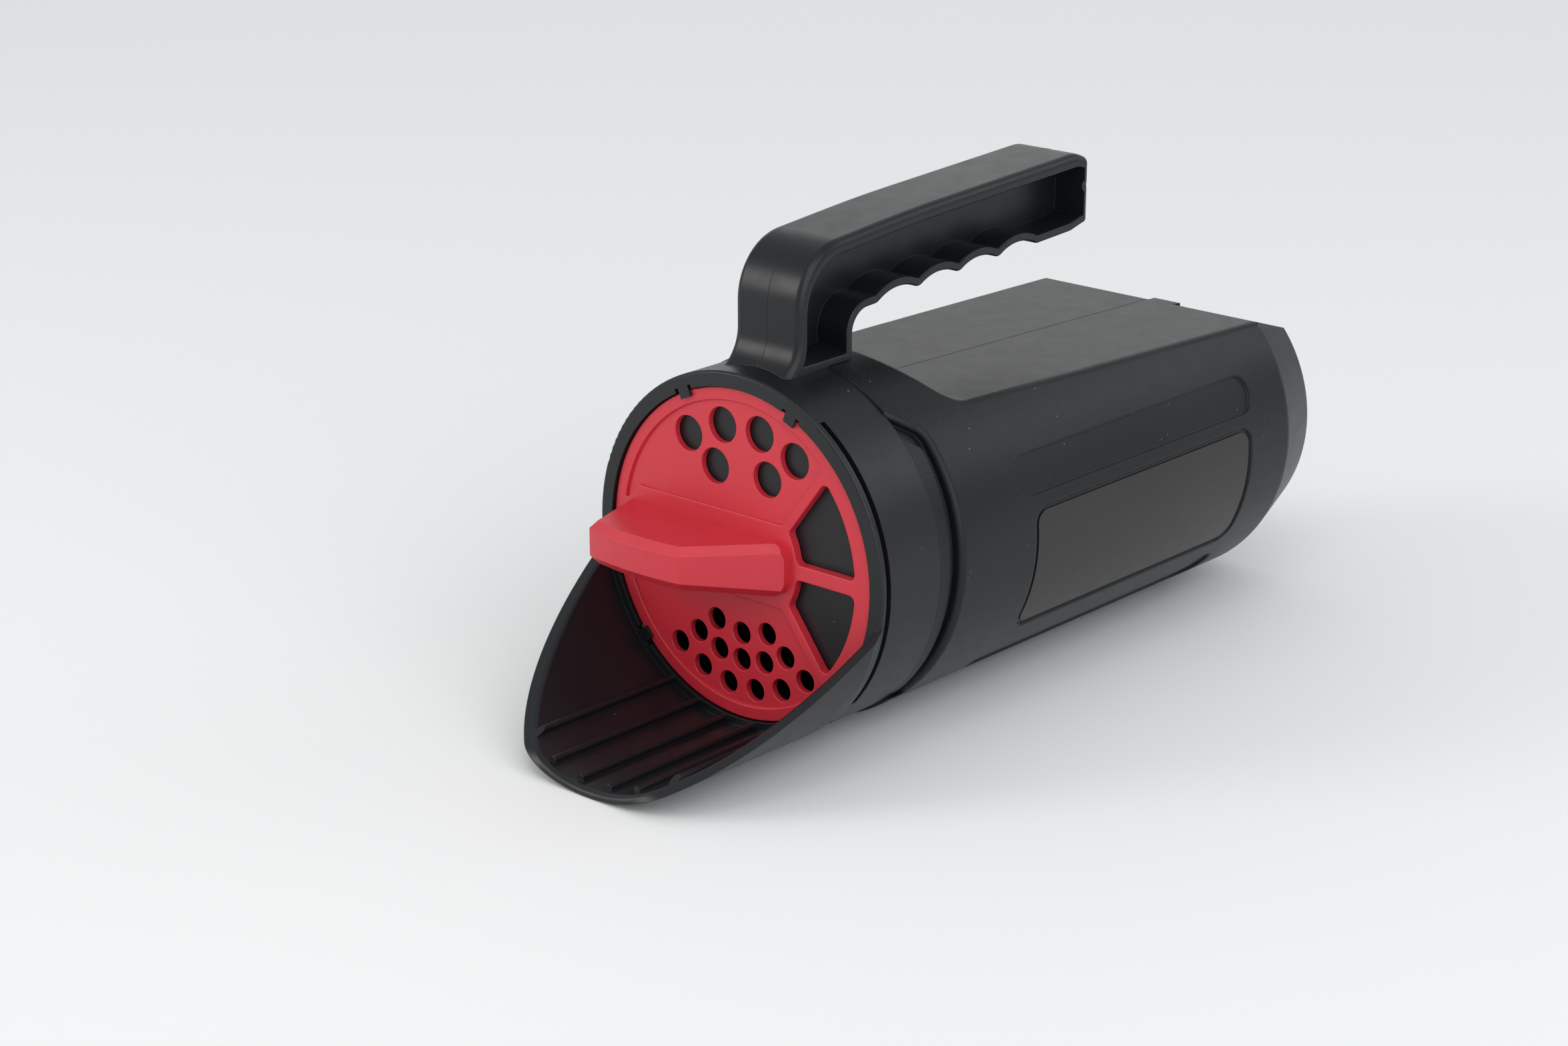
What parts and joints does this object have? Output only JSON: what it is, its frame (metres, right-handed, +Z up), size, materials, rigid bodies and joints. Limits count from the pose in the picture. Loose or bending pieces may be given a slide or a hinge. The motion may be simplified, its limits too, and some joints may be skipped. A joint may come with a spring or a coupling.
{
  "type": "garden spreader",
  "caption": "Hand-held garden spreader: ribbed scoop head with a turning hole dial, cantilevered carrying handle and a flat-topped round hopper.",
  "frame": {"origin": "on the floor under the middle of the whole length, on the middle plane", "axes": "+Z up, -Y to the front where the scoop points, +X to the right side with the dial's windows"},
  "size_m": [0.1306, 0.327, 0.1734],
  "materials": {
    "head_black": "satin moulded polypropylene",
    "handle_black": "satin moulded polypropylene",
    "dial_red": "satin moulded polypropylene",
    "hopper_black": "grained blow-moulded polyethylene",
    "label_film": "bare satin film"
  },
  "bodies": {
    "body": {"scoop_head": "head_black", "handle": "handle_black", "hopper": "hopper_black", "right_label": "label_film", "left_label": "label_film"},
    "dial": {"dial": "dial_red"}
  },
  "joints": [
    {"name": "dial_turn", "type": "hinge", "parent": "body", "child": "dial", "pos_m": [0, -0.08685, 0.063], "axis": [0, 1, 0], "continuous": true}
  ]
}
